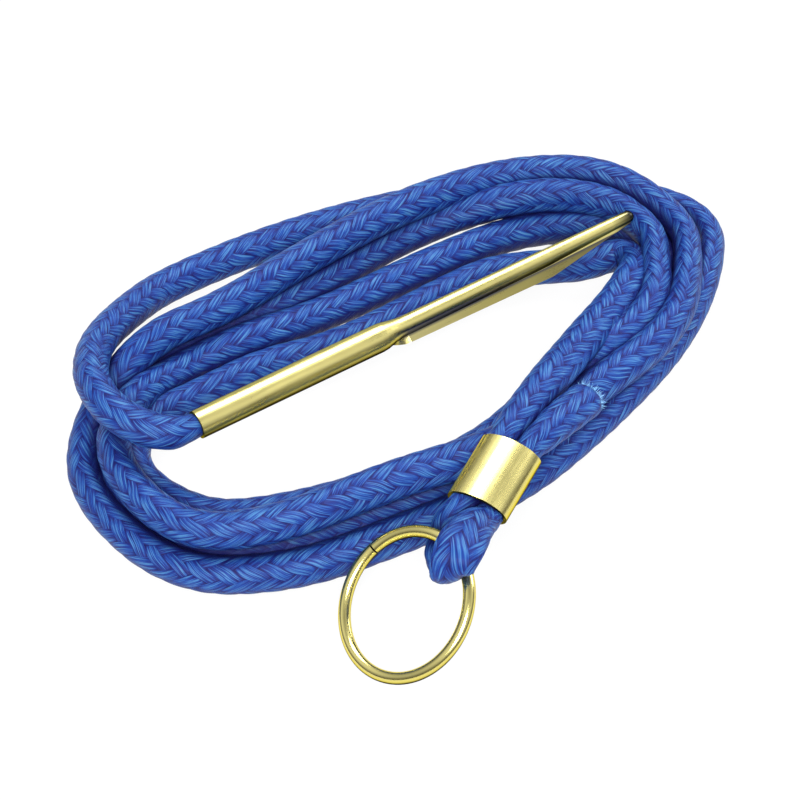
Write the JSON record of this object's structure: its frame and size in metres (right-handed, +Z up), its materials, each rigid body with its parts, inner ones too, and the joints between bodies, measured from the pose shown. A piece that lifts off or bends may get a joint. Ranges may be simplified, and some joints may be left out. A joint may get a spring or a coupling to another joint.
{
  "type": "fish stringer",
  "caption": "Fish stringer: braided cord wound in a loose hank, with a rolled brass needle on one end and a ring held in a crimped ferrule on the other.",
  "frame": {"origin": "middle of the overall box on the table that the hank lies on", "axes": "+X along the hank towards the needle's tip, +Y towards the back of the hank, away from the ring, +Z up off the table"},
  "size_m": [0.1248, 0.098, 0.0218],
  "materials": {
    "brass": "polished",
    "cord": "braided filament"
  },
  "bodies": {
    "stringer": {"cord_coil": "cord", "cord_needle_end": "cord", "cord_ring_loop": "cord", "cord_tail": "cord", "needle": "brass", "ferrule": "brass"},
    "ring": {"ring": "brass"}
  },
  "joints": [
    {"name": "ring_swing", "type": "hinge", "parent": "stringer", "child": "ring", "pos_m": [-0.01448, -0.03628, 0.01541], "axis": [0, 1, 0], "range_deg": [0, 120]}
  ]
}
